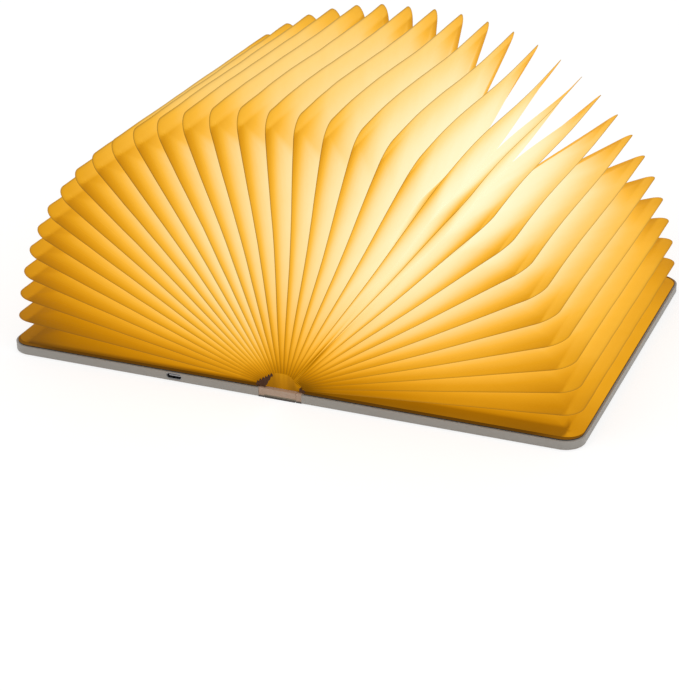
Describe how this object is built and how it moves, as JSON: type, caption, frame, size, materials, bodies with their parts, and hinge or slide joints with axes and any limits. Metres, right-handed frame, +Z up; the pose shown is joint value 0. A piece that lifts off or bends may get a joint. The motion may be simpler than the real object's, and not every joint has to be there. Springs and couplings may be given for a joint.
{
  "type": "folding book lamp",
  "caption": "Book-shaped lamp: two hinged hard covers with a paper bellows of joined pages that fans open over a light strip along the spine.",
  "frame": {"origin": "centre of the bounding box on its bottom plane, which is the outside of the spine and covers", "axes": "+X from the spine to the right cover's fore-edge, +Y along the spine away from the charging socket, +Z up from the covers into the fan of pages"},
  "size_m": [0.3234, 0.215, 0.1545],
  "materials": {
    "leatherette": "embossed leatherette, near-black ground with bronze, silver and old gold relief",
    "housing": "fine satin, warm grey",
    "dark_panel": "satin black",
    "pasted_paper": "matte",
    "bellows_paper": "matte, translucent",
    "page_hem": "matte, doubled",
    "tape_paper": "matte",
    "board": "grey board",
    "channel_plastic": "satin, pinkish beige",
    "strip_board": "white solder mask",
    "diode": "clear over yellow phosphor",
    "lens": "frosted, translucent",
    "cable_film": "polyimide film",
    "magnet": "nickel plated",
    "cell": "foil pouch",
    "circuit_board": "green solder mask",
    "shell_steel": "drawn shell",
    "reed_glass": "greenish tube"
  },
  "bodies": {
    "spine": {"spine_wrap": "leatherette", "spine_board": "board", "spine_channel": "channel_plastic", "light_strip": "strip_board", "diodes": "diode", "diffuser": "lens", "root_tapes": "tape_paper", "left_hinge_strip": "leatherette", "right_hinge_strip": "leatherette", "flat_cable": "cable_film", "left_sheets": "bellows_paper", "right_sheets": "bellows_paper"},
    "left_cover": {"left_wrap": "leatherette", "left_tray": "housing", "left_panel": "dark_panel", "left_end_leaf": "pasted_paper", "left_magnets": "magnet", "battery": "cell", "charging_board": "circuit_board", "charging_socket": "shell_steel", "lid_switch": "reed_glass"},
    "right_cover": {"right_wrap": "leatherette", "right_tray": "housing", "right_panel": "dark_panel", "right_end_leaf": "pasted_paper", "right_magnets": "magnet"},
    "left_page_01": {"left_page_01": "page_hem"},
    "left_page_02": {"left_page_02": "page_hem"},
    "left_page_03": {"left_page_03": "page_hem"},
    "left_page_04": {"left_page_04": "page_hem"},
    "left_page_05": {"left_page_05": "page_hem"},
    "left_page_06": {"left_page_06": "page_hem"},
    "left_page_07": {"left_page_07": "page_hem"},
    "left_page_08": {"left_page_08": "page_hem"},
    "left_page_09": {"left_page_09": "page_hem"},
    "left_page_10": {"left_page_10": "page_hem"},
    "left_page_11": {"left_page_11": "page_hem"},
    "left_page_12": {"left_page_12": "page_hem"},
    "left_page_13": {"left_page_13": "page_hem"},
    "left_page_14": {"left_page_14": "page_hem"},
    "left_page_15": {"left_page_15": "page_hem"},
    "left_page_16": {"left_page_16": "page_hem"},
    "right_page_01": {"right_page_01": "page_hem"},
    "right_page_02": {"right_page_02": "page_hem"},
    "right_page_03": {"right_page_03": "page_hem"},
    "right_page_04": {"right_page_04": "page_hem"},
    "right_page_05": {"right_page_05": "page_hem"},
    "right_page_06": {"right_page_06": "page_hem"},
    "right_page_07": {"right_page_07": "page_hem"},
    "right_page_08": {"right_page_08": "page_hem"},
    "right_page_09": {"right_page_09": "page_hem"},
    "right_page_10": {"right_page_10": "page_hem"},
    "right_page_11": {"right_page_11": "page_hem"},
    "right_page_12": {"right_page_12": "page_hem"},
    "right_page_13": {"right_page_13": "page_hem"},
    "right_page_14": {"right_page_14": "page_hem"},
    "right_page_15": {"right_page_15": "page_hem"},
    "right_page_16": {"right_page_16": "page_hem"}
  },
  "joints": [
    {"name": "left_hinge", "type": "hinge", "parent": "spine", "child": "left_cover", "pos_m": [-0.0093, 0, 0.0027], "axis": [0, 1, 0], "range_deg": [-92, 90], "deforming": ["left_sheets", "left_hinge_strip", "flat_cable"]},
    {"name": "right_hinge", "type": "hinge", "parent": "spine", "child": "right_cover", "pos_m": [0.0093, 0, 0.0027], "axis": [0, -1, 0], "range_deg": [-92, 90], "deforming": ["right_sheets", "right_hinge_strip"]},
    {"name": "left_page_01_fold", "type": "hinge", "parent": "spine", "child": "left_page_01", "pos_m": [-0.0093, 0, 0.0027], "axis": [0, 1, 0], "range_deg": [-1.99, 1.95]},
    {"name": "left_page_02_fold", "type": "hinge", "parent": "spine", "child": "left_page_02", "pos_m": [-0.0093, 0, 0.0027], "axis": [0, 1, 0], "range_deg": [-8.01, 7.84]},
    {"name": "left_page_03_fold", "type": "hinge", "parent": "spine", "child": "left_page_03", "pos_m": [-0.0093, 0, 0.0027], "axis": [0, 1, 0], "range_deg": [-14.01, 13.71]},
    {"name": "left_page_04_fold", "type": "hinge", "parent": "spine", "child": "left_page_04", "pos_m": [-0.0093, 0, 0.0027], "axis": [0, 1, 0], "range_deg": [-19.98, 19.54]},
    {"name": "left_page_05_fold", "type": "hinge", "parent": "spine", "child": "left_page_05", "pos_m": [-0.0093, 0, 0.0027], "axis": [0, 1, 0], "range_deg": [-25.89, 25.33]},
    {"name": "left_page_06_fold", "type": "hinge", "parent": "spine", "child": "left_page_06", "pos_m": [-0.0093, 0, 0.0027], "axis": [0, 1, 0], "range_deg": [-31.76, 31.07]},
    {"name": "left_page_07_fold", "type": "hinge", "parent": "spine", "child": "left_page_07", "pos_m": [-0.0093, 0, 0.0027], "axis": [0, 1, 0], "range_deg": [-37.56, 36.74]},
    {"name": "left_page_08_fold", "type": "hinge", "parent": "spine", "child": "left_page_08", "pos_m": [-0.0093, 0, 0.0027], "axis": [0, 1, 0], "range_deg": [-43.29, 42.34]},
    {"name": "left_page_09_fold", "type": "hinge", "parent": "spine", "child": "left_page_09", "pos_m": [-0.0093, 0, 0.0027], "axis": [0, 1, 0], "range_deg": [-48.94, 47.88]},
    {"name": "left_page_10_fold", "type": "hinge", "parent": "spine", "child": "left_page_10", "pos_m": [-0.0093, 0, 0.0027], "axis": [0, 1, 0], "range_deg": [-54.52, 53.34]},
    {"name": "left_page_11_fold", "type": "hinge", "parent": "spine", "child": "left_page_11", "pos_m": [-0.0093, 0, 0.0027], "axis": [0, 1, 0], "range_deg": [-60.03, 58.73]},
    {"name": "left_page_12_fold", "type": "hinge", "parent": "spine", "child": "left_page_12", "pos_m": [-0.0093, 0, 0.0027], "axis": [0, 1, 0], "range_deg": [-65.48, 64.06]},
    {"name": "left_page_13_fold", "type": "hinge", "parent": "spine", "child": "left_page_13", "pos_m": [-0.0093, 0, 0.0027], "axis": [0, 1, 0], "range_deg": [-70.86, 69.32]},
    {"name": "left_page_14_fold", "type": "hinge", "parent": "spine", "child": "left_page_14", "pos_m": [-0.0093, 0, 0.0027], "axis": [0, 1, 0], "range_deg": [-76.19, 74.54]},
    {"name": "left_page_15_fold", "type": "hinge", "parent": "spine", "child": "left_page_15", "pos_m": [-0.0093, 0, 0.0027], "axis": [0, 1, 0], "range_deg": [-81.49, 79.72]},
    {"name": "left_page_16_fold", "type": "hinge", "parent": "spine", "child": "left_page_16", "pos_m": [-0.0093, 0, 0.0027], "axis": [0, 1, 0], "range_deg": [-86.75, 84.86]},
    {"name": "right_page_01_fold", "type": "hinge", "parent": "spine", "child": "right_page_01", "pos_m": [0.0093, 0, 0.0027], "axis": [0, -1, 0], "range_deg": [-4.1, 4.01]},
    {"name": "right_page_02_fold", "type": "hinge", "parent": "spine", "child": "right_page_02", "pos_m": [0.0093, 0, 0.0027], "axis": [0, -1, 0], "range_deg": [-10.24, 10.02]},
    {"name": "right_page_03_fold", "type": "hinge", "parent": "spine", "child": "right_page_03", "pos_m": [0.0093, 0, 0.0027], "axis": [0, -1, 0], "range_deg": [-16.35, 16]},
    {"name": "right_page_04_fold", "type": "hinge", "parent": "spine", "child": "right_page_04", "pos_m": [0.0093, 0, 0.0027], "axis": [0, -1, 0], "range_deg": [-22.41, 21.92]},
    {"name": "right_page_05_fold", "type": "hinge", "parent": "spine", "child": "right_page_05", "pos_m": [0.0093, 0, 0.0027], "axis": [0, -1, 0], "range_deg": [-28.39, 27.77]},
    {"name": "right_page_06_fold", "type": "hinge", "parent": "spine", "child": "right_page_06", "pos_m": [0.0093, 0, 0.0027], "axis": [0, -1, 0], "range_deg": [-34.27, 33.53]},
    {"name": "right_page_07_fold", "type": "hinge", "parent": "spine", "child": "right_page_07", "pos_m": [0.0093, 0, 0.0027], "axis": [0, -1, 0], "range_deg": [-40.05, 39.18]},
    {"name": "right_page_08_fold", "type": "hinge", "parent": "spine", "child": "right_page_08", "pos_m": [0.0093, 0, 0.0027], "axis": [0, -1, 0], "range_deg": [-45.72, 44.72]},
    {"name": "right_page_09_fold", "type": "hinge", "parent": "spine", "child": "right_page_09", "pos_m": [0.0093, 0, 0.0027], "axis": [0, -1, 0], "range_deg": [-51.26, 50.15]},
    {"name": "right_page_10_fold", "type": "hinge", "parent": "spine", "child": "right_page_10", "pos_m": [0.0093, 0, 0.0027], "axis": [0, -1, 0], "range_deg": [-56.68, 55.45]},
    {"name": "right_page_11_fold", "type": "hinge", "parent": "spine", "child": "right_page_11", "pos_m": [0.0093, 0, 0.0027], "axis": [0, -1, 0], "range_deg": [-61.99, 60.64]},
    {"name": "right_page_12_fold", "type": "hinge", "parent": "spine", "child": "right_page_12", "pos_m": [0.0093, 0, 0.0027], "axis": [0, -1, 0], "range_deg": [-67.18, 65.72]},
    {"name": "right_page_13_fold", "type": "hinge", "parent": "spine", "child": "right_page_13", "pos_m": [0.0093, 0, 0.0027], "axis": [0, -1, 0], "range_deg": [-72.27, 70.7]},
    {"name": "right_page_14_fold", "type": "hinge", "parent": "spine", "child": "right_page_14", "pos_m": [0.0093, 0, 0.0027], "axis": [0, -1, 0], "range_deg": [-77.28, 75.6]},
    {"name": "right_page_15_fold", "type": "hinge", "parent": "spine", "child": "right_page_15", "pos_m": [0.0093, 0, 0.0027], "axis": [0, -1, 0], "range_deg": [-82.23, 80.44]},
    {"name": "right_page_16_fold", "type": "hinge", "parent": "spine", "child": "right_page_16", "pos_m": [0.0093, 0, 0.0027], "axis": [0, -1, 0], "range_deg": [-87.13, 85.23]}
  ],
  "couplings": [
    {"joint": "left_page_01_fold", "follows": "left_hinge", "ratio": 0.021641},
    {"joint": "left_page_02_fold", "follows": "left_hinge", "ratio": 0.087069},
    {"joint": "left_page_03_fold", "follows": "left_hinge", "ratio": 0.15227},
    {"joint": "left_page_04_fold", "follows": "left_hinge", "ratio": 0.2171},
    {"joint": "left_page_05_fold", "follows": "left_hinge", "ratio": 0.28144},
    {"joint": "left_page_06_fold", "follows": "left_hinge", "ratio": 0.34517},
    {"joint": "left_page_07_fold", "follows": "left_hinge", "ratio": 0.4082},
    {"joint": "left_page_08_fold", "follows": "left_hinge", "ratio": 0.47048},
    {"joint": "left_page_09_fold", "follows": "left_hinge", "ratio": 0.53196},
    {"joint": "left_page_10_fold", "follows": "left_hinge", "ratio": 0.59264},
    {"joint": "left_page_11_fold", "follows": "left_hinge", "ratio": 0.65254},
    {"joint": "left_page_12_fold", "follows": "left_hinge", "ratio": 0.7117},
    {"joint": "left_page_13_fold", "follows": "left_hinge", "ratio": 0.77022},
    {"joint": "left_page_14_fold", "follows": "left_hinge", "ratio": 0.82818},
    {"joint": "left_page_15_fold", "follows": "left_hinge", "ratio": 0.8857},
    {"joint": "left_page_16_fold", "follows": "left_hinge", "ratio": 0.94293},
    {"joint": "right_page_01_fold", "follows": "right_hinge", "ratio": 0.044563},
    {"joint": "right_page_02_fold", "follows": "right_hinge", "ratio": 0.11134},
    {"joint": "right_page_03_fold", "follows": "right_hinge", "ratio": 0.17774},
    {"joint": "right_page_04_fold", "follows": "right_hinge", "ratio": 0.24354},
    {"joint": "right_page_05_fold", "follows": "right_hinge", "ratio": 0.30852},
    {"joint": "right_page_06_fold", "follows": "right_hinge", "ratio": 0.3725},
    {"joint": "right_page_07_fold", "follows": "right_hinge", "ratio": 0.43532},
    {"joint": "right_page_08_fold", "follows": "right_hinge", "ratio": 0.4969},
    {"joint": "right_page_09_fold", "follows": "right_hinge", "ratio": 0.55716},
    {"joint": "right_page_10_fold", "follows": "right_hinge", "ratio": 0.6161},
    {"joint": "right_page_11_fold", "follows": "right_hinge", "ratio": 0.67376},
    {"joint": "right_page_12_fold", "follows": "right_hinge", "ratio": 0.7302},
    {"joint": "right_page_13_fold", "follows": "right_hinge", "ratio": 0.78557},
    {"joint": "right_page_14_fold", "follows": "right_hinge", "ratio": 0.84003},
    {"joint": "right_page_15_fold", "follows": "right_hinge", "ratio": 0.89376},
    {"joint": "right_page_16_fold", "follows": "right_hinge", "ratio": 0.94701}
  ]
}
